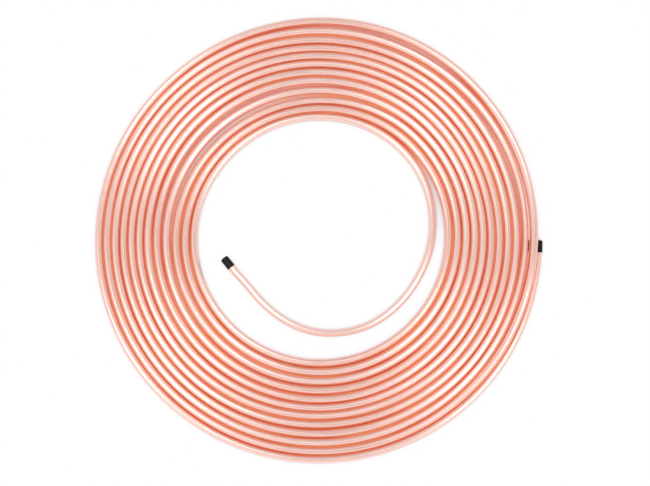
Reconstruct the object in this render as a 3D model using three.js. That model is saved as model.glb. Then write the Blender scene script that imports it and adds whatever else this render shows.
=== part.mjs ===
// A flat coil of soft copper tube: one length of tube wound into a spiral of a single layer, its
// inner end sprung loose into the open middle, with a slip-on plastic cap on each end.
// Millimetres, +Z up. The coil lies on z = 0, seen from above it winds inwards clockwise.
import * as THREE from "three";

// Tube: 3/16 in soft copper with its standard wall.
const TUBE_OD = 4.76;
const TUBE_WALL = 0.76;
const SECTION_SIDES = 8; // flats across the diameter, one of them underneath
const STEPS_PER_TURN = 28; // the same on every turn, so that neighbouring turns bend together

// Winding: the turns that lie side by side, counted inwards from the outer end.
const PACK_TURNS = 11.5;
const OUTER_RADIUS = 145.1; // axis of the coil to the middle of the tube, at the outer end
const OUTER_GAP = 0.44; // between neighbouring turns at the rim
const INNER_GAP = 1.19; // and at the innermost turn
const START_ANGLE = -0.4; // degrees, where the outer end lies
const DRIFT = { x: 0.7, y: 2 }; // the innermost turn's centre from the outermost turn's
const OVAL = { stretch: 0.53, angle: 11 }; // a hand-wound coil isn't quite round; degrees

// Places where the turns have sprung a little out (+) or in (-). turn and angle give the middle of
// the place, reach the turns it takes in on each side, and spread its degrees on each side.
const LOOSE_SPOTS = [
  { turn: 0.2, reach: 2.6, angle: -299, spread: 80, push: 3.2 },
  { turn: 1.8, reach: 1.2, angle: -343, spread: 45, push: 0.9 },
  { turn: 4.5, reach: 3.1, angle: -80, spread: 50, push: -1 },
  { turn: 5, reach: 3.7, angle: -339, spread: 50, push: -1 },
  { turn: 6.6, reach: 3.7, angle: -281, spread: 56, push: 0.45 },
  { turn: 6.7, reach: 3.7, angle: -191, spread: 95, push: 1 },
  { turn: 9.9, reach: 2.2, angle: -238, spread: 75, push: -2.3 },
];

// Outer end: it is tucked in towards the next turn, which rides up over its cap.
const TUCK = { depth: 2.2, turns: 0.15 };
const RIDE_TURNS = 0.16; // how far the raised stretch runs on each side of the cap

// Inner end: degrees past the innermost turn, and how far inside that turn's radius it lies.
const TAIL = [
  [45, 1.8],
  [90, 2],
  [120, 2.2],
  [150, 3.8],
  [180, 7.9],
  [201, 11.2],
  [221, 13.1],
  [241, 14.6],
  [270, 18.3],
  [300, 23.4],
  [318, 25.2],
  [328, 24.7],
  [339, 21.6],
  [346.5, 18.3],
];

// Caps: closed sleeves of thin plastic.
const CAP_LENGTH = 8;
const CAP_WALL = 0.3;
const CAP_END_WALL = 0.9;
const CAP_ROUNDING = 1.4; // on the closed end's rim
const CAP_FIT = 0.1; // between the tube and the cap, all round and at the tube's end
const CAP_REST_GAP = 0.3; // between the outer cap and the turn that rides over it
const SETTLE_LENGTH = 30; // of tube that comes down from a cap's height to the floor

// Worked out from the above.
const TUBE_RADIUS = TUBE_OD / 2;
const CAP_RADIUS = TUBE_RADIUS + CAP_FIT + CAP_WALL;
const CAP_GRIP = CAP_LENGTH - CAP_END_WALL - CAP_FIT; // length of tube inside a cap
const TAIL_TURNS = TAIL.at(-1)[0] / 360;
const ALL_TURNS = PACK_TURNS + TAIL_TURNS;
const OUTER_PITCH = TUBE_OD + OUTER_GAP;
const INNER_PITCH = TUBE_OD + INNER_GAP;

const radians = THREE.MathUtils.degToRad;

// 1 at x = 0, falling smoothly to 0 at x = -1 and x = 1.
const bell = (x) => (Math.abs(x) < 1 ? Math.cos((x * Math.PI) / 2) ** 2 : 0);

// 0 below x = 0, rising smoothly to 1 at x = 1.
const ramp = (x) => THREE.MathUtils.smoothstep(x, 0, 1);

// Radius of the even spiral, whose pitch opens steadily from the rim to the innermost turn.
function spiralRadius(turn) {
  const opening = (INNER_PITCH - OUTER_PITCH) / (2 * PACK_TURNS);
  return OUTER_RADIUS - OUTER_PITCH * turn - opening * turn * turn;
}

// A smooth curve through the tail's points: how far inside the innermost turn's radius it lies. It
// sets off as steeply as the innermost turn was winding in.
function tailInset(turn) {
  const degrees = (turn - PACK_TURNS) * 360;
  if (degrees <= 0) return 0;
  const knots = [[0, 0], ...TAIL];
  const found = knots.findIndex((k) => k[0] >= degrees);
  const at = found < 0 ? knots.length - 1 : found;
  const slopeAt = (i) => {
    if (i === 0) return INNER_PITCH / 360;
    const a = knots[i - 1];
    const b = knots[Math.min(i + 1, knots.length - 1)];
    return (b[1] - a[1]) / (b[0] - a[0]);
  };
  const [x0, y0] = knots[at - 1];
  const [x1, y1] = knots[at];
  const width = x1 - x0;
  const s = (degrees - x0) / width;
  const rise = s * s * (3 - 2 * s);
  const leave = s * (1 - s) ** 2 * width * slopeAt(at - 1);
  const arrive = s * s * (s - 1) * width * slopeAt(at);
  return y0 + (y1 - y0) * rise + leave + arrive;
}

// Smallest difference between two angles, in degrees.
const angleBetween = (a, b) => Math.abs(THREE.MathUtils.euclideanModulo(a - b + 180, 360) - 180);

// Radius of the winding about its own centre, with its loose spots, the tuck and the tail.
function windingRadius(turn) {
  const wound = Math.min(turn, PACK_TURNS);
  const degrees = START_ANGLE - 360 * wound;
  const sprung = LOOSE_SPOTS.reduce((sum, spot) => {
    const near = bell((wound - spot.turn) / spot.reach);
    return sum + spot.push * near * bell(angleBetween(degrees, spot.angle) / spot.spread);
  }, 0);
  const tucked = TUCK.depth * Math.max(0, 1 - turn / TUCK.turns) ** 2;
  return spiralRadius(wound) + sprung - tucked - tailInset(turn);
}

// Middle of the tube in plan, that many turns in from the outer end.
function planPoint(turn) {
  const degrees = START_ANGLE - 360 * turn;
  const wound = Math.min(turn / PACK_TURNS, 1);
  const oval = OVAL.stretch * Math.cos(2 * radians(degrees - OVAL.angle));
  const radius = windingRadius(turn) + oval;
  const x = radius * Math.cos(radians(degrees)) + DRIFT.x * wound;
  const y = radius * Math.sin(radians(degrees)) + DRIFT.y * wound;
  return new THREE.Vector2(x, y);
}

// Turns that a short length of tube takes up near a place on the winding.
function turnsFor(length, turn) {
  const step = 0.001;
  const there = planPoint(THREE.MathUtils.clamp(turn + step, 0, ALL_TURNS));
  const here = planPoint(THREE.MathUtils.clamp(turn - step, 0, ALL_TURNS));
  const span = turn - step < 0 || turn + step > ALL_TURNS ? step : 2 * step;
  return (length * span) / there.distanceTo(here);
}

const OUTER_GRIP_TURNS = turnsFor(CAP_GRIP, 0);
const INNER_GRIP_TURNS = turnsFor(CAP_GRIP, ALL_TURNS);
const OUTER_SETTLE_TURNS = turnsFor(SETTLE_LENGTH, 0);
const INNER_SETTLE_TURNS = turnsFor(SETTLE_LENGTH, ALL_TURNS);

// Height of the middle of the tube: on the floor, a little up at each cap, and over the outer cap.
function height(turn) {
  const capRise = CAP_RADIUS - TUBE_RADIUS;
  const fromOuter = 1 - ramp((turn - OUTER_GRIP_TURNS) / OUTER_SETTLE_TURNS);
  const fromInner = 1 - ramp((ALL_TURNS - turn - INNER_GRIP_TURNS) / INNER_SETTLE_TURNS);
  const overCap = 1 + OUTER_GRIP_TURNS / 2;
  const spacing = planPoint(0).length() - planPoint(1).length();
  const reach = TUBE_RADIUS + CAP_RADIUS + CAP_REST_GAP;
  const ride = capRise + Math.sqrt(Math.max(0, reach * reach - spacing * spacing));
  const riding = ride * bell((turn - overCap) / RIDE_TURNS);
  return TUBE_RADIUS + capRise * Math.max(fromOuter, fromInner) + riding;
}

// Middle of the tube in space, that many turns in from the outer end.
function middleAt(turn) {
  const plan = planPoint(turn);
  return new THREE.Vector3(plan.x, plan.y, height(turn));
}

// The tube's middle line. Its steps are equal in angle, with a straight step inside each cap, and
// its section is kept level, as tube that is wound on a table doesn't twist.
class MiddleLine extends THREE.Curve {
  constructor() {
    super();
    const whole = Math.floor((ALL_TURNS - INNER_GRIP_TURNS) * STEPS_PER_TURN);
    const even = Array.from({ length: whole }, (_, i) => (i + 1) / STEPS_PER_TURN);
    this.stations = [0, OUTER_GRIP_TURNS, ...even, ALL_TURNS - INNER_GRIP_TURNS, ALL_TURNS];
  }
  get steps() {
    return this.stations.length - 1;
  }
  getPoint(u, target = new THREE.Vector3()) {
    const place = THREE.MathUtils.clamp(u, 0, 1) * this.steps;
    const i = Math.min(Math.floor(place), this.steps - 1);
    const [from, to] = [this.stations[i], this.stations[i + 1]];
    if (i === 0 || i === this.steps - 1) {
      return target.lerpVectors(middleAt(from), middleAt(to), place - i);
    }
    return target.copy(middleAt(THREE.MathUtils.lerp(from, to, place - i)));
  }
  getUtoTmapping(u) {
    return u;
  }
  computeFrenetFrames(steps) {
    const down = new THREE.Vector3(0, 0, -1);
    const tangents = Array.from({ length: steps + 1 }, (_, i) => this.getTangent(i / steps));
    const binormals = tangents.map((t) => t.clone().cross(down).normalize());
    const normals = tangents.map((t, i) => binormals[i].clone().cross(t).normalize());
    return { tangents, normals, binormals };
  }
}

// A closed outline with flat sides, across-flats twice the radius, one side facing down.
function flatSided(outline, radius) {
  const corner = radius / Math.cos(Math.PI / SECTION_SIDES);
  const points = Array.from({ length: SECTION_SIDES }, (_, i) => {
    const angle = ((2 * i + 1) * Math.PI) / SECTION_SIDES;
    return new THREE.Vector2(corner * Math.cos(angle), corner * Math.sin(angle));
  });
  return outline.setFromPoints(points);
}

function tubeGeometry(line) {
  const section = flatSided(new THREE.Shape(), TUBE_RADIUS);
  section.holes.push(flatSided(new THREE.Path(), TUBE_RADIUS - TUBE_WALL));
  const options = { steps: line.steps, extrudePath: line, bevelEnabled: false };
  return new THREE.ExtrudeGeometry(section, options);
}

// A cap about +Y, its closed end at the origin and its mouth at CAP_LENGTH.
function capGeometry() {
  const bore = TUBE_RADIUS + CAP_FIT;
  const rounded = [0, 30, 60, 90].map((degrees) => [
    CAP_RADIUS - CAP_ROUNDING * (1 - Math.sin(radians(degrees))),
    CAP_ROUNDING * (1 - Math.cos(radians(degrees))),
  ]);
  const profile = [
    [0, 0],
    ...rounded,
    [CAP_RADIUS, CAP_LENGTH],
    [bore, CAP_LENGTH],
    [bore, CAP_END_WALL],
    [0, CAP_END_WALL],
  ];
  const toCorner = 1 / Math.cos(Math.PI / SECTION_SIDES);
  const points = profile.map(([r, y]) => new THREE.Vector2(r * toCorner, y));
  return new THREE.LatheGeometry(points, SECTION_SIDES, Math.PI / SECTION_SIDES);
}

// Puts a cap over an end of the tube: end is the tube's end, inside is a point further along it.
function placeCap(cap, end, inside) {
  const axis = inside.clone().sub(end).normalize();
  const up = new THREE.Vector3(0, 0, 1);
  const side = axis.clone().cross(up).normalize();
  cap.quaternion.setFromRotationMatrix(new THREE.Matrix4().makeBasis(side, axis, up));
  cap.position.copy(end).addScaledVector(axis, -(CAP_END_WALL + CAP_FIT));
  return cap;
}

function named(name, geometry, material) {
  const mesh = new THREE.Mesh(geometry, material);
  mesh.name = name;
  return mesh;
}

const copper = () => new THREE.MeshStandardMaterial({ color: 0xeda58c, roughness: 0.28, metalness: 1 });
const plastic = () => new THREE.MeshStandardMaterial({ color: 0x1d1718, roughness: 0.4, metalness: 0 });

const line = new MiddleLine();
const ends = [0, 1, line.steps - 1, line.steps].map((i) => line.getPoint(i / line.steps));

const coil = new THREE.Group();
coil.add(named("copper_tube", tubeGeometry(line), copper()));
coil.add(placeCap(named("outer_end_cap", capGeometry(), plastic()), ends[0], ends[1]));
coil.add(placeCap(named("inner_end_cap", capGeometry(), plastic()), ends[3], ends[2]));

// The origin is under the middle of the whole coil, on the floor that it lies on.
const middle = new THREE.Box3().setFromObject(coil, true).getCenter(new THREE.Vector3());
coil.position.set(-middle.x, -middle.y, 0);

const part = new THREE.Group();
part.add(coil);
export default part;
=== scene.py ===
# %% [markdown]
# # A flat coil of copper tube
# The object is one long piece of soft copper tube, wound flat on a bench into a spiral of a single
# layer, with a black plastic cap pushed on each end. This script dresses an exact model of it, the
# frame, for a picture: a smooth round tube, a copper finish and rounded caps.
#
# The frame comes first. It holds the parts at their real size and place, in metres, and nothing
# that is made here may leave its box. So the box is measured before anything is added.

# %% Load the frame and measure it
import math

import bmesh
import bpy
import numpy as np
from mathutils import Matrix, Vector


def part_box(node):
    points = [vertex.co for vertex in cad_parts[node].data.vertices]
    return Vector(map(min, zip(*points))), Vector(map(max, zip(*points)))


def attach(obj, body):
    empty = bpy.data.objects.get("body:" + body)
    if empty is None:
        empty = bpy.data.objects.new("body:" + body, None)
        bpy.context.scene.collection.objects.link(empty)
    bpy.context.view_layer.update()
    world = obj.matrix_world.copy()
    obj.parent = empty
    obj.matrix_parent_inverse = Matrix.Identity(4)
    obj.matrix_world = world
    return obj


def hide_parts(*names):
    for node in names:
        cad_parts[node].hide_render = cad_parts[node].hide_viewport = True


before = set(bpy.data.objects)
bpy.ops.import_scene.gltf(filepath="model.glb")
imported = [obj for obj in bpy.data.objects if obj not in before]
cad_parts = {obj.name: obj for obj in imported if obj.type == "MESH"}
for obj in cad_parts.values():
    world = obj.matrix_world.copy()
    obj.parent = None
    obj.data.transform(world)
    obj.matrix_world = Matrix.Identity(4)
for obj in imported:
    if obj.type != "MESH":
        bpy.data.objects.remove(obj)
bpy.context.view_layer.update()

MM = 0.001

# %% [markdown]
# ## Where the tube runs
# A coil's path follows a rule, so it is worked out and not drawn. A turn counter runs from 0 at the
# outer end to about 12.5 at the inner end. Each full turn takes the tube one pitch further in, and
# the pitch opens a little towards the middle. On top of that come the small faults of hand winding:
# the turns drift off centre, they are slightly oval, and in a few places they have sprung apart.
# The numbers are in millimetres and degrees, and describe one particular coil. Its winding was
# fitted by least squares and rounded, and its tail follows listed readings.

# %% Sizes of the tube and its winding
TUBE_OD = 4.76
CAP_LENGTH = 8
CAP_WALL = 0.3
CAP_END_WALL = 0.9
CAP_ROUNDING = 1.4
CAP_FIT = 0.1
CAP_REST_GAP = 0.3
TUBE_RADIUS = TUBE_OD / 2
CAP_RADIUS = TUBE_RADIUS + CAP_FIT + CAP_WALL
CAP_GRIP = CAP_LENGTH - CAP_END_WALL - CAP_FIT

PACK_TURNS = 11.5
OUTER_RADIUS = 145.1
OUTER_GAP, INNER_GAP = 0.44, 1.19
OUTER_PITCH = TUBE_OD + OUTER_GAP
INNER_PITCH = TUBE_OD + INNER_GAP
START_ANGLE = -0.4
DRIFT = (0.7, 2)
OVAL_STRETCH, OVAL_ANGLE = 0.53, 11
LOOSE_SPOTS = (  # turn, reach in turns, angle, spread in degrees, push
    (0.2, 2.6, -299, 80, 3.2),
    (1.8, 1.2, -343, 45, 0.9),
    (4.5, 3.1, -80, 50, -1),
    (5, 3.7, -339, 50, -1),
    (6.6, 3.7, -281, 56, 0.45),
    (6.7, 3.7, -191, 95, 1),
    (9.9, 2.2, -238, 75, -2.3),
)
TUCK_DEPTH, TUCK_TURNS = 2.2, 0.15
RIDE_TURNS = 0.16
SETTLE_LENGTH = 30
TAIL = np.array((  # degrees past the innermost turn, and how far inside its radius
    (0, 0), (45, 1.8), (90, 2), (120, 2.2), (150, 3.8), (180, 7.9), (201, 11.2), (221, 13.1),
    (241, 14.6), (270, 18.3), (300, 23.4), (318, 25.2), (328, 24.7), (339, 21.6), (346.5, 18.3),
))
ALL_TURNS = PACK_TURNS + TAIL[-1, 0] / 360
print(f"{ALL_TURNS:.2f} turns of {TUBE_OD} mm tube")

# %% The path, worked out for a whole array of turn counts at once


def bell(x):
    return np.where(np.abs(x) < 1, np.cos(x * np.pi / 2) ** 2, 0)


def ramp(x):
    x = np.clip(x, 0, 1)
    return x * x * (3 - 2 * x)


def spiral_radius(turn):
    opening = (INNER_PITCH - OUTER_PITCH) / (2 * PACK_TURNS)
    return OUTER_RADIUS - OUTER_PITCH * turn - opening * turn**2


def tail_inset(turn):
    """A smooth curve through the tail's points; it sets off as the innermost turn was winding."""
    at, inset = TAIL[:, 0], TAIL[:, 1]
    middle_slopes = (inset[2:] - inset[:-2]) / (at[2:] - at[:-2])
    last_slope = (inset[-1] - inset[-2]) / (at[-1] - at[-2])
    slopes = np.concatenate(([INNER_PITCH / 360], middle_slopes, [last_slope]))
    degrees = np.clip((turn - PACK_TURNS) * 360, 0, at[-1])
    i = np.clip(np.searchsorted(at, degrees), 1, len(at) - 1)
    width = at[i] - at[i - 1]
    s = (degrees - at[i - 1]) / width
    rise = inset[i - 1] + (inset[i] - inset[i - 1]) * s * s * (3 - 2 * s)
    leave = s * (1 - s) ** 2 * width * slopes[i - 1]
    return rise + leave + s * s * (s - 1) * width * slopes[i]


def winding_radius(turn):
    wound = np.minimum(turn, PACK_TURNS)
    degrees = START_ANGLE - 360 * wound
    radius = spiral_radius(wound) - TUCK_DEPTH * np.clip(1 - turn / TUCK_TURNS, 0, None) ** 2
    for middle, reach, angle, spread, push in LOOSE_SPOTS:
        apart = np.abs((degrees - angle + 180) % 360 - 180)
        radius = radius + push * bell((wound - middle) / reach) * bell(apart / spread)
    return radius - tail_inset(turn)


def plan_point(turn):
    degrees = START_ANGLE - 360 * turn
    oval = OVAL_STRETCH * np.cos(2 * np.radians(degrees - OVAL_ANGLE))
    wound = np.minimum(turn / PACK_TURNS, 1)
    radius = winding_radius(turn) + oval
    x = radius * np.cos(np.radians(degrees)) + DRIFT[0] * wound
    y = radius * np.sin(np.radians(degrees)) + DRIFT[1] * wound
    return np.stack((x, y), axis=-1)


def turns_for(length, turn):
    step = 0.001
    ends = np.clip(np.array((turn - step, turn + step)), 0, ALL_TURNS)
    return length * (ends[1] - ends[0]) / np.linalg.norm(np.diff(plan_point(ends), axis=0))


OUTER_GRIP_TURNS = turns_for(CAP_GRIP, 0)
INNER_GRIP_TURNS = turns_for(CAP_GRIP, ALL_TURNS)


def height(turn):
    cap_rise = CAP_RADIUS - TUBE_RADIUS
    from_outer = 1 - ramp((turn - OUTER_GRIP_TURNS) / turns_for(SETTLE_LENGTH, 0))
    from_inner = ALL_TURNS - turn - INNER_GRIP_TURNS
    from_inner = 1 - ramp(from_inner / turns_for(SETTLE_LENGTH, ALL_TURNS))
    rim = np.linalg.norm(plan_point(np.array((0.0, 1.0))), axis=1)
    reach = TUBE_RADIUS + CAP_RADIUS + CAP_REST_GAP
    ride = cap_rise + math.sqrt(reach**2 - (rim[0] - rim[1]) ** 2)
    riding = ride * bell((turn - 1 - OUTER_GRIP_TURNS / 2) / RIDE_TURNS)
    return TUBE_RADIUS + cap_rise * np.maximum(from_outer, from_inner) + riding


def middle_at(turn):
    plan = plan_point(turn)
    return np.concatenate((plan, height(turn)[:, None]), axis=1)


print(f"the spiral runs in from {spiral_radius(0):.1f} to {spiral_radius(PACK_TURNS):.1f} mm")

# %% [markdown]
# The path is worked out about the winding's own centre, and the frame's origin is under the middle
# of its box. The cap on the outer end is in both: where it is in the frame, less where the path
# puts it, is how far the path has to move to lie exactly where the frame's tube lies.

# %% Move the path into the frame


def end_axis(end, inside):
    axis = inside - end
    return axis / np.linalg.norm(axis)


outer = middle_at(np.array((0.0, OUTER_GRIP_TURNS)))
inner = middle_at(np.array((ALL_TURNS, ALL_TURNS - INNER_GRIP_TURNS)))
outer_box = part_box("outer_end_cap")
cap_middle = (outer[0] + end_axis(*outer) * (CAP_LENGTH / 2 - CAP_END_WALL - CAP_FIT)) * MM
shift = np.array((outer_box[0] + outer_box[1]) / 2) - cap_middle
shift[2] = 0
print("path moves by", (shift / MM).round(3), "mm")

DRAWN_STEPS = 144  # steps to a turn on the smooth tube
turns = np.linspace(OUTER_GRIP_TURNS, ALL_TURNS - INNER_GRIP_TURNS, int(ALL_TURNS * DRAWN_STEPS))
route = np.concatenate((outer[:1], middle_at(turns), inner[:1])) * MM + shift
length = np.linalg.norm(np.diff(route, axis=0), axis=1).sum()
print(f"{len(route)} points, {length:.3f} m of tube")

# %% [markdown]
# ## A round tube on the path
# A pipe can be made by bending a cylinder, by a curve with a bevel, or by sweeping a circle in
# Geometry Nodes. The sweep is the best of these here: its sizes stay named inputs, and it can store
# on every point where that point lies on the tube. The finish needs that, because drawing marks
# run along a tube and not across the room.
#
# The stored value, tube_place, holds the cosine and sine of the way round the tube and the metres
# along it. An angle alone would jump from 360 back to 0 at one edge and leave a seam.

# %% A short helper for geometry node trees


class Tree:
    """Adds nodes to a tree and joins them, one call for each node."""

    def __init__(self, tree):
        self.tree = tree

    def add(self, kind, settings=None, **inputs):
        node = self.tree.nodes.new(kind)
        for name, value in (settings or {}).items():
            setattr(node, name, value)
        for name, value in inputs.items():
            self.feed(self.socket(node, name), value)
        return node

    def socket(self, node, name):
        wanted = name.replace("_", " ").lower()
        for socket in node.inputs:
            if socket.enabled and socket.name.lower() == wanted:
                return socket
        raise KeyError(f"{node.bl_idname} has no input {name}")

    def feed(self, socket, value):
        if isinstance(value, bpy.types.NodeSocket):
            self.tree.links.new(value, socket)
        else:
            socket.default_value = value


def new_geometry_tree(name, sizes):
    """A tree with a Geometry input, one input for each size, and a Geometry output."""
    tree = bpy.data.node_groups.new(name, "GeometryNodeTree")
    tree.interface.new_socket("Geometry", in_out="INPUT", socket_type="NodeSocketGeometry")
    for label, kind in sizes.items():
        tree.interface.new_socket(label, in_out="INPUT", socket_type=kind)
    tree.interface.new_socket("Geometry", in_out="OUTPUT", socket_type="NodeSocketGeometry")
    return tree


def set_inputs(modifier, values):
    """Sets a modifier's inputs by the sockets' identifiers."""
    for item in modifier.node_group.interface.items_tree:
        if item.in_out == "INPUT" and item.name in values:
            modifier[item.identifier] = values[item.name]


def make_plain(source, name):
    """The evaluated shape of an object as a plain mesh object; the source is removed."""
    evaluated = source.evaluated_get(bpy.context.evaluated_depsgraph_get())
    mesh = bpy.data.meshes.new_from_object(evaluated)
    mesh.name = name
    bpy.data.objects.remove(source)
    made = bpy.data.objects.new(name, mesh)
    bpy.context.scene.collection.objects.link(made)
    return made


# %% The tree that sweeps the tube


def tube_tree():
    tree = new_geometry_tree(
        "Swept tube",
        {
            "Outside Radius": "NodeSocketFloat",
            "Sides": "NodeSocketInt",
            "Finish": "NodeSocketMaterial",
        },
    )
    t = Tree(tree)
    given = t.add("NodeGroupInput").outputs
    path = t.add("GeometryNodeMeshToCurve", Mesh=given["Geometry"]).outputs["Curve"]
    along = t.add("GeometryNodeSplineParameter").outputs["Length"]
    kept = t.add("GeometryNodeCaptureAttribute", {"domain": "POINT"}, Geometry=path)
    kept.capture_items.new("FLOAT", "Along")
    t.feed(kept.inputs[1], along)
    ring = t.add(
        "GeometryNodeCurvePrimitiveCircle",
        Resolution=given["Sides"],
        Radius=given["Outside Radius"],
    ).outputs["Curve"]
    place = t.add("GeometryNodeInputPosition").outputs["Position"]
    round_ring = t.add("GeometryNodeCaptureAttribute", {"domain": "POINT"}, Geometry=ring)
    round_ring.capture_items.new("VECTOR", "Round")
    way = t.add("ShaderNodeVectorMath", {"operation": "NORMALIZE"})
    t.feed(way.inputs[0], place)
    t.feed(round_ring.inputs[1], way.outputs[0])
    body = t.add(
        "GeometryNodeCurveToMesh",
        Curve=kept.outputs["Geometry"],
        Profile_Curve=round_ring.outputs["Geometry"],
        Fill_Caps=True,
    ).outputs["Mesh"]
    apart = t.add("ShaderNodeSeparateXYZ")
    t.feed(apart.inputs[0], round_ring.outputs[1])
    joined = t.add(
        "ShaderNodeCombineXYZ", X=apart.outputs["X"], Y=apart.outputs["Y"], Z=kept.outputs[1]
    )
    stored = t.add(
        "GeometryNodeStoreNamedAttribute",
        {"data_type": "FLOAT_VECTOR", "domain": "POINT"},
        Geometry=body,
        Name="tube_place",
        Value=joined.outputs["Vector"],
    ).outputs["Geometry"]
    smooth = t.add("GeometryNodeSetShadeSmooth", Geometry=stored).outputs[0]
    real = t.add("GeometryNodeRealizeInstances", Geometry=smooth).outputs[0]
    dressed = t.add("GeometryNodeSetMaterial", Geometry=real, Material=given["Finish"])
    t.feed(t.add("NodeGroupOutput").inputs["Geometry"], dressed.outputs[0])
    return tree


# %% [markdown]
# ## Copper
# Bare drawn copper is a metal, so almost all of its colour is reflection. One bounce off copper is
# a pale pink. Where two turns face each other the light bounces two, three or four times, and each
# bounce takes out more green and blue, so both flanks of every turn run from pink to orange. The
# renderer does most of that by itself, as long as the tube is round and the gaps are real, but it
# gives up after a few bounces. So a deeper orange copper is painted on both flanks of every turn,
# placed by tube_place: a painted reflection of the light lost between the turns.
#
# The rest is small. Drawing leaves fine streaks along the tube, and they stretch a highlight across
# it: the shader's anisotropy gives the stretch, and a bump that follows tube_place gives the
# streaks. Handling leaves slow changes of tone, so that one turn isn't quite like the next. New
# tube is bright and slightly oily, so a weak clear coat lies on top.

# %% Shader maths as Python expressions


class Field:
    """Wraps a shader socket, so that sums on values read as Python."""

    def __init__(self, nodes, socket):
        self.nodes, self.socket = nodes, socket

    def math(self, operation, *others):
        return self.nodes.value(operation, self, *others)

    def __add__(self, other):
        return self.math("ADD", other)

    def __mul__(self, other):
        return self.math("MULTIPLY", other)

    def __pow__(self, other):
        return self.math("POWER", other)

    def __rsub__(self, other):
        return self.nodes.value("SUBTRACT", other, self)

    __radd__ = __add__
    __rmul__ = __mul__


class Nodes:
    """Adds nodes to the tree of a material or of the world, one call for each node."""

    def __init__(self, owner):
        owner.use_nodes = True
        self.tree = owner.node_tree

    def node(self, kind, settings=None, **inputs):
        made = self.tree.nodes.new(kind)
        for name, value in (settings or {}).items():
            setattr(made, name, value)
        for name, value in inputs.items():
            self.feed(made.inputs[name.replace("_", " ")], value)
        return made

    def feed(self, socket, value):
        if isinstance(value, Field):
            value = value.socket
        if isinstance(value, bpy.types.NodeSocket):
            self.tree.links.new(value, socket)
        else:
            socket.default_value = value

    def value(self, operation, *terms):
        made = self.node("ShaderNodeMath", {"operation": operation})
        for socket, term in zip(made.inputs, terms):
            self.feed(socket, term)
        return Field(self, made.outputs[0])

    def vector(self, operation, *terms):
        made = self.node("ShaderNodeVectorMath", {"operation": operation})
        for socket, term in zip(made.inputs, terms):
            self.feed(socket, term)
        return made.outputs

    def blend(self, factor, low, high):
        made = self.node("ShaderNodeMix", {"data_type": "RGBA"})
        sockets = (made.inputs[0], made.inputs[6], made.inputs[7])
        for socket, value in zip(sockets, (factor, low, high)):
            self.feed(socket, value)
        return made.outputs[2]

    def smooth_step(self, value, low, high):
        """Rises smoothly from 0 to 1 as the value goes from low to high."""
        made = self.node("ShaderNodeMapRange", {"interpolation_type": "SMOOTHSTEP"})
        for socket, term in zip(made.inputs, (value, low, high, 0.0, 1.0)):
            self.feed(socket, term)
        return Field(self, made.outputs[0])

    def noise(self, place, scale, detail=2.0):
        made = self.node("ShaderNodeTexNoise", Vector=place, Scale=scale, Detail=detail)
        return Field(self, made.outputs["Fac"])


# %% The copper finish

CLEAN_COPPER = (0.96, 0.645, 0.58, 1)
WARM_COPPER = (0.94, 0.57, 0.49, 1)
# painted reflection: a deeper orange on both flanks of every turn, for bounce light the renderer
# loses
PAINTED_BOUNCE_COPPER = (0.90, 0.32, 0.15, 1)
PAINTED_BOUNCE_START = 0.91  # where the deeper copper begins, from 0 on the tube's top to 1 on its flank
TONE_LIMITS = (0.35, 0.65)  # slow noise at which the copper is clean, and at which it is warm
MARKS_SCALE = (3.0, 6.0)  # how fine the noise is, round the tube and along it
TONE_SCALE = (0.6, 5.0)
WAVES_SCALE = (0.4, 30.0)
ROUGHNESS = 0.13
MARKS_ROUGHEN, TONE_ROUGHENS = 0.06, 0.04
MARKS_STRETCH, STRETCH_TURN = 0.8, 0.25  # a quarter turn lays the stretch across the tube
OIL_WEIGHT, OIL_ROUGHNESS, OIL_IOR = 0.3, 0.1, 1.6


def copper_finish():
    material = bpy.data.materials.new("Drawn copper")
    n = Nodes(material)
    surface = n.tree.nodes["Principled BSDF"].inputs
    stored = n.node("ShaderNodeAttribute", {"attribute_name": "tube_place"}).outputs["Vector"]

    def along_tube(around, along):
        return n.vector("MULTIPLY", stored, (around, around, along))[0]

    marks = n.noise(along_tube(*MARKS_SCALE), scale=1.0, detail=3.0)
    tone = n.noise(along_tube(*TONE_SCALE), scale=1.0, detail=3.0)
    waves = n.noise(along_tube(*WAVES_SCALE), scale=1.0, detail=1.0)

    top = Field(n, n.node("ShaderNodeSeparateXYZ", Vector=stored).outputs["Y"])
    # the painted bounce light: deeper copper towards each flank of the tube
    painted_bounce = n.smooth_step(1 - top * top, PAINTED_BOUNCE_START, 1.0)
    bright = n.blend(n.smooth_step(tone, *TONE_LIMITS), CLEAN_COPPER, WARM_COPPER)
    n.feed(surface["Base Color"], n.blend(painted_bounce, bright, PAINTED_BOUNCE_COPPER))
    surface["Metallic"].default_value = 1.0
    surface["Anisotropic"].default_value = MARKS_STRETCH
    surface["Anisotropic Rotation"].default_value = STRETCH_TURN
    surface["Coat Weight"].default_value = OIL_WEIGHT
    surface["Coat Roughness"].default_value = OIL_ROUGHNESS
    surface["Coat IOR"].default_value = OIL_IOR
    n.feed(surface["Roughness"], ROUGHNESS + MARKS_ROUGHEN * marks + TONE_ROUGHENS * tone)

    fine = n.node("ShaderNodeBump", Strength=0.4, Distance=0.0004, Height=marks)
    slow = n.node("ShaderNodeBump", Strength=0.25, Distance=0.0005, Height=waves)
    n.feed(slow.inputs["Normal"], fine.outputs[0])
    n.feed(surface["Normal"], slow.outputs[0])
    return material


copper = copper_finish()
print("finish:", copper.name)

# %% Sweep the tube


def guide_line(points):
    mesh = bpy.data.meshes.new("route")
    edges = [(i, i + 1) for i in range(len(points) - 1)]
    mesh.from_pydata([tuple(p) for p in points], edges, [])
    made = bpy.data.objects.new("route", mesh)
    bpy.context.scene.collection.objects.link(made)
    return made


def swept_tube(name, points, radius, sides, finish):
    guide = guide_line(points)
    sweep = guide.modifiers.new("Swept tube", "NODES")
    sweep.node_group = tube_tree()
    set_inputs(sweep, {"Outside Radius": radius, "Sides": sides, "Finish": finish})
    return make_plain(guide, name)


DRAWN_RADIUS = TUBE_RADIUS - 0.02  # a hair slimmer, so that it stays inside the frame's box
TUBE_SIDES = 28

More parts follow.
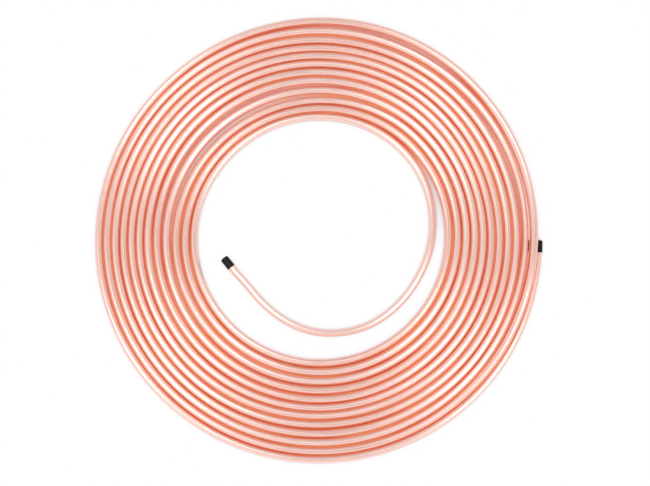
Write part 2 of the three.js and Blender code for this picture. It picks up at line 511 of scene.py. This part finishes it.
tube = swept_tube("round_copper_tube", route, DRAWN_RADIUS * MM, TUBE_SIDES, copper)
print(tube.name, len(tube.data.polygons), "faces")
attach(tube, "root")
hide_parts("copper_tube")

# %% [markdown]
# ## The end caps
# A cap is dip-moulded from soft vinyl: a closed sleeve with a rounded end, drawn in a little along
# its middle, with a thin rolled lip at the mouth. It is a turned form, so a profile is spun about
# the tube's own axis. Its black isn't flat: a fine mottle varies the colour and the surface, and a
# thin film varies the gloss.

# %% Vinyl finish

DARK_VINYL = (0.004, 0.003, 0.0035, 1)
PALE_VINYL = (0.010, 0.007, 0.008, 1)
VINYL_ROUGHNESS, FILM_ROUGHENS = 0.1, 0.08
VINYL_SPECULAR = 0.18


def vinyl_finish():
    material = bpy.data.materials.new("Black vinyl")
    n = Nodes(material)
    surface = n.tree.nodes["Principled BSDF"].inputs
    place = n.node("ShaderNodeTexCoord").outputs["Object"]
    mottle = n.noise(place, scale=900.0, detail=3.0)
    film = n.noise(place, scale=260.0, detail=2.0)
    n.feed(surface["Base Color"], n.blend(mottle, DARK_VINYL, PALE_VINYL))
    n.feed(surface["Roughness"], VINYL_ROUGHNESS + FILM_ROUGHENS * film)
    surface["Specular IOR Level"].default_value = VINYL_SPECULAR
    bump = n.node("ShaderNodeBump", Strength=0.1, Distance=0.00004, Height=mottle)
    n.feed(surface["Normal"], bump.outputs[0])
    return material


vinyl = vinyl_finish()
print("finish:", vinyl.name)

# %% Spin a cap about the end of the tube

BORE_FIT = 0.04  # how much wider than the tube the bore is, on the radius
FLAT_END = 0.9  # radius of the flat middle of the closed end
LIP = 0.16  # radius of the rolled edge at the mouth
MOUTH_CHAMFER = 0.1
WAIST = ((0.05, 2.4), (0.07, 4.2), (0.05, 6.2))  # how far drawn in, how far from the closed end
CAP_SIDES = 48


def cap_profile():
    """Radius and distance from the closed end, in millimetres, from the axis outside to inside."""
    bore = TUBE_RADIUS + BORE_FIT
    closed = [
        (CAP_RADIUS - CAP_ROUNDING * (1 - math.sin(a)), CAP_ROUNDING * (1 - math.cos(a)))
        for a in np.radians(np.arange(0, 91, 11.25))
    ]
    rolled = [
        (CAP_RADIUS - LIP * (1 - math.cos(a)), CAP_LENGTH - LIP * (1 - math.sin(a)))
        for a in np.radians(np.arange(0, 91, 22.5))
    ]
    waist = [(CAP_RADIUS - depth, y) for depth, y in WAIST]
    inside = [(bore, CAP_LENGTH - MOUTH_CHAMFER), (bore, CAP_END_WALL), (0.0, CAP_END_WALL)]
    return [(0.0, 0.0), (FLAT_END, 0.0), *closed, *waist, *rolled, *inside]


def clean_up(mesh):
    """Merges the points that meet on the axis, turns the faces outwards and shades them smooth."""
    b = bmesh.new()
    b.from_mesh(mesh)
    bmesh.ops.remove_doubles(b, verts=b.verts, dist=1e-7)
    bmesh.ops.dissolve_degenerate(b, edges=b.edges, dist=1e-7)
    bmesh.ops.recalc_face_normals(b, faces=b.faces)
    b.to_mesh(mesh)
    b.free()
    mesh.shade_smooth()


def spun_cap(name, end, inside, sides=CAP_SIDES):
    axis = Vector(end_axis(end, inside))
    up = Vector((0, 0, 1))
    side = axis.cross(up).normalized()
    base = Vector(end * MM + shift) - axis * (CAP_END_WALL + CAP_FIT) * MM
    turn_into_place = Matrix((side, axis, up)).transposed().to_4x4()
    turn_into_place.translation = base
    profile = cap_profile()
    points, faces = [], []
    for radius, y in profile:
        for k in range(sides):
            a = math.tau * k / sides
            points.append((radius * math.cos(a) * MM, y * MM, radius * math.sin(a) * MM))
    for i in range(len(profile) - 1):
        for k in range(sides):
            j = (k + 1) % sides
            faces.append((i * sides + k, i * sides + j, (i + 1) * sides + j, (i + 1) * sides + k))
    mesh = bpy.data.meshes.new(name)
    mesh.from_pydata(points, [], faces)
    mesh.transform(turn_into_place)
    clean_up(mesh)
    mesh.materials.append(vinyl)
    made = bpy.data.objects.new(name, mesh)
    bpy.context.scene.collection.objects.link(made)
    return made


for name, node, (end, inside) in (
    ("outer_vinyl_cap", "outer_end_cap", outer),
    ("inner_vinyl_cap", "inner_end_cap", inner),
):
    cap = spun_cap(name, end, inside)
    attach(cap, "root")
    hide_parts(node)
    print(name, len(cap.data.polygons), "faces")

# %% [markdown]
# ## Floor, light and camera
# Polished metal shows its surroundings, so the room matters more than any lamp. The coil lies on a
# white table in an even, pale room. Small area lamps would draw hard-edged squares in the copper,
# so the soft boxes are part of the room's own light: each is a round glow that fades out at its
# rim. There are four, high above the table's corners. So the tube has white streaks where it runs
# past a corner, and shows plain pink copper between them. The camera shades the room overhead.
#
# The floor is plain white to the camera and in the copper, by way of Light Path, and darkens where
# the coil hides the sky from it. Deep between two turns it is lit by copper alone: light gets down
# there after many bounces and arrives orange. A renderer loses most of that light, so the floor
# gives it back as a glow wherever hardly any sky is open above it. No two gaps are quite alike, so
# the glow runs slowly between a deep and a softer orange from one gap to the next.

# %% Floor

DEEP_GLOW = (0.63, 0.06, 0.0, 1)  # the table in the tightest gaps, seen straight down
SOFT_GLOW = (0.84, 0.20, 0.06, 1)  # the same in easier gaps
SIDE_GLOW = (1.0, 0.72, 0.60, 1)  # and as it shows in the copper beside the gap
# painted shade: a grey glow for the table in the widest gaps and just beside the coil
WIDE_GAP_SHADE = (0.70, 0.60, 0.63, 1)  # the table in the widest gaps
TABLE_WHITE = (0.84, 0.84, 0.85, 1)
SKY_REACH = 0.012  # metres within which the floor feels the coil over it
NARROW_TO_WIDE = (0.3, 0.42)  # share of open sky over which the orange glow gives way
WIDE_TO_OPEN = (0.45, 0.62)  # and over which the glow turns plain white
GLOW_STRETCH = 1.5  # how quickly the glow changes on the way round a gap
GLOW_LIMITS = (0.38, 0.62)  # slow noise at which the glow is deep, and at which it is soft
GAP_SHARE = 0.95  # how much of a narrow gap is glow; the rest is the lit table
TABLE_SHARE, OPEN_SHARE = 0.55, 0.5  # the same elsewhere, and what a fully open sky adds to it
FLOOR_DROP = 0.00005  # keeps the floor clear of the tube's underside


def floor_finish():
    material = bpy.data.materials.new("White table")
    n = Nodes(material)
    surface = n.tree.nodes["Principled BSDF"]
    surface.inputs["Base Color"].default_value = TABLE_WHITE
    surface.inputs["Roughness"].default_value = 0.9
    ray = n.node("ShaderNodeLightPath").outputs
    seen = Field(n, ray["Is Camera Ray"]) + ray["Is Glossy Ray"] + ray["Is Transmission Ray"]
    sky = n.node("ShaderNodeAmbientOcclusion", Distance=SKY_REACH)
    openness = Field(n, sky.outputs["AO"])

    place = n.node("ShaderNodeTexCoord").outputs["Object"]
    ring = Field(n, n.vector("LENGTH", place)["Value"]) * (1 / (OUTER_PITCH * MM))
    way = n.node("ShaderNodeSeparateXYZ", Vector=n.vector("NORMALIZE", place)[0]).outputs
    along = [GLOW_STRETCH * Field(n, way[axis]) for axis in "XY"]
    which_gap = n.node("ShaderNodeCombineXYZ", X=ring, Y=along[0], Z=along[1]).outputs[0]
    softness = n.smooth_step(n.noise(which_gap, scale=1.0, detail=1.0), *GLOW_LIMITS)
    in_gap = n.blend(softness, DEEP_GLOW, SOFT_GLOW)
    wide = n.smooth_step(openness, *NARROW_TO_WIDE)
    narrow = n.blend(ray["Is Camera Ray"], SIDE_GLOW, in_gap)
    beside = n.blend(n.smooth_step(openness, *WIDE_TO_OPEN), WIDE_GAP_SHADE, (1, 1, 1, 1))
    glow = n.node("ShaderNodeEmission", Color=n.blend(wide, narrow, beside), Strength=1.0)
    part = (1 - wide) * GAP_SHARE + wide * (TABLE_SHARE + OPEN_SHARE * openness)
    mix = n.node("ShaderNodeMixShader")
    share = seen.math("MINIMUM", 1.0) * part
    for socket, value in zip(mix.inputs, (share, surface.outputs[0], glow.outputs[0])):
        n.feed(socket, value)
    n.feed(n.tree.nodes["Material Output"].inputs["Surface"], mix.outputs[0])
    return material


def add_floor(size):
    mesh = bpy.data.meshes.new("floor")
    h = size / 2
    mesh.from_pydata([(-h, -h, 0), (h, -h, 0), (h, h, 0), (-h, h, 0)], [], [(0, 1, 2, 3)])
    mesh.materials.append(floor_finish())
    made = bpy.data.objects.new("floor", mesh)
    bpy.context.scene.collection.objects.link(made)
    made.location.z = -FLOOR_DROP
    print("floor:", size, "m across")
    return made


add_floor(8.0)

# %% Room with soft boxes

WALLS = 0.88
ROOM_EAST, ROOM_NORTH = -0.05, -0.17  # how much brighter the room gets towards +X and +Y
CAMERA_SHADE = 0.36  # taken away straight overhead
HORIZON = 0.4  # extra light just above the table's edge
FADE = 8  # the power that keeps the first overhead and the second low down
SOFT_BOXES = (  # azimuth, degrees from overhead, degrees to half strength, strength
    (-38, 24, 6, 5.1),
    (-146, 18, 6, 4.2),
    (132, 17, 6, 3.3),
    (50, 20, 6, 4.8),
)


def direction(azimuth, from_zenith):
    """A direction from the coil; azimuth is measured from +X towards +Y, in degrees."""
    a, z = math.radians(azimuth), math.radians(from_zenith)
    return math.cos(a) * math.sin(z), math.sin(a) * math.sin(z), math.cos(z)


def set_room():
    world = bpy.data.worlds.new("Room")
    bpy.context.scene.world = world
    n = Nodes(world)
    way = n.node("ShaderNodeTexCoord").outputs["Generated"]
    apart = n.node("ShaderNodeSeparateXYZ", Vector=way).outputs
    up = Field(n, apart["Z"])
    light = WALLS - CAMERA_SHADE * up**FADE + HORIZON * (1 - up) ** FADE
    light = light + ROOM_EAST * Field(n, apart["X"]) + ROOM_NORTH * Field(n, apart["Y"])
    for azimuth, from_zenith, half_width, strength in SOFT_BOXES:
        facing = Field(n, n.vector("DOT_PRODUCT", way, direction(azimuth, from_zenith))["Value"])
        sharpness = math.log(0.5) / math.log(math.cos(math.radians(half_width)))
        light = light + strength * (facing.math("MAXIMUM", 0.0) ** sharpness)
    ray = n.node("ShaderNodeLightPath").outputs
    seen = n.node("ShaderNodeMix")
    n.feed(seen.inputs[0], ray["Is Camera Ray"])
    n.feed(seen.inputs[2], light)
    seen.inputs[3].default_value = 1.0
    back = n.tree.nodes["Background"]
    n.feed(back.inputs["Strength"], seen.outputs[0])
    back.inputs["Color"].default_value = (1, 1, 1, 1)


set_room()
print("room with", len(SOFT_BOXES), "soft boxes")

# %% Camera straight above

PICTURE_WIDTH, PICTURE_HEIGHT = 650, 486
MM_PER_PIXEL = 0.652
COIL_MIDDLE = (318.9, 240.35)  # where the middle of the coil falls in the picture, in pixels
SENSOR_WIDTH = 36.0
CAMERA_DISTANCE = 1.8


def add_camera():
    data = bpy.data.cameras.new("camera")
    data.sensor_width = SENSOR_WIDTH
    width = PICTURE_WIDTH * MM_PER_PIXEL * MM
    data.lens = SENSOR_WIDTH * CAMERA_DISTANCE / width
    camera = bpy.data.objects.new("camera", data)
    x = (PICTURE_WIDTH / 2 - COIL_MIDDLE[0]) * MM_PER_PIXEL * MM
    y = -(PICTURE_HEIGHT / 2 - COIL_MIDDLE[1]) * MM_PER_PIXEL * MM
    camera.location = (x, y, CAMERA_DISTANCE + TUBE_RADIUS * MM)
    data.clip_start, data.clip_end = 0.05, 50
    bpy.context.scene.collection.objects.link(camera)
    bpy.context.scene.camera = camera
    print(f"lens: {data.lens:.1f} mm")


add_camera()
bpy.context.scene.view_settings.view_transform = "Standard"
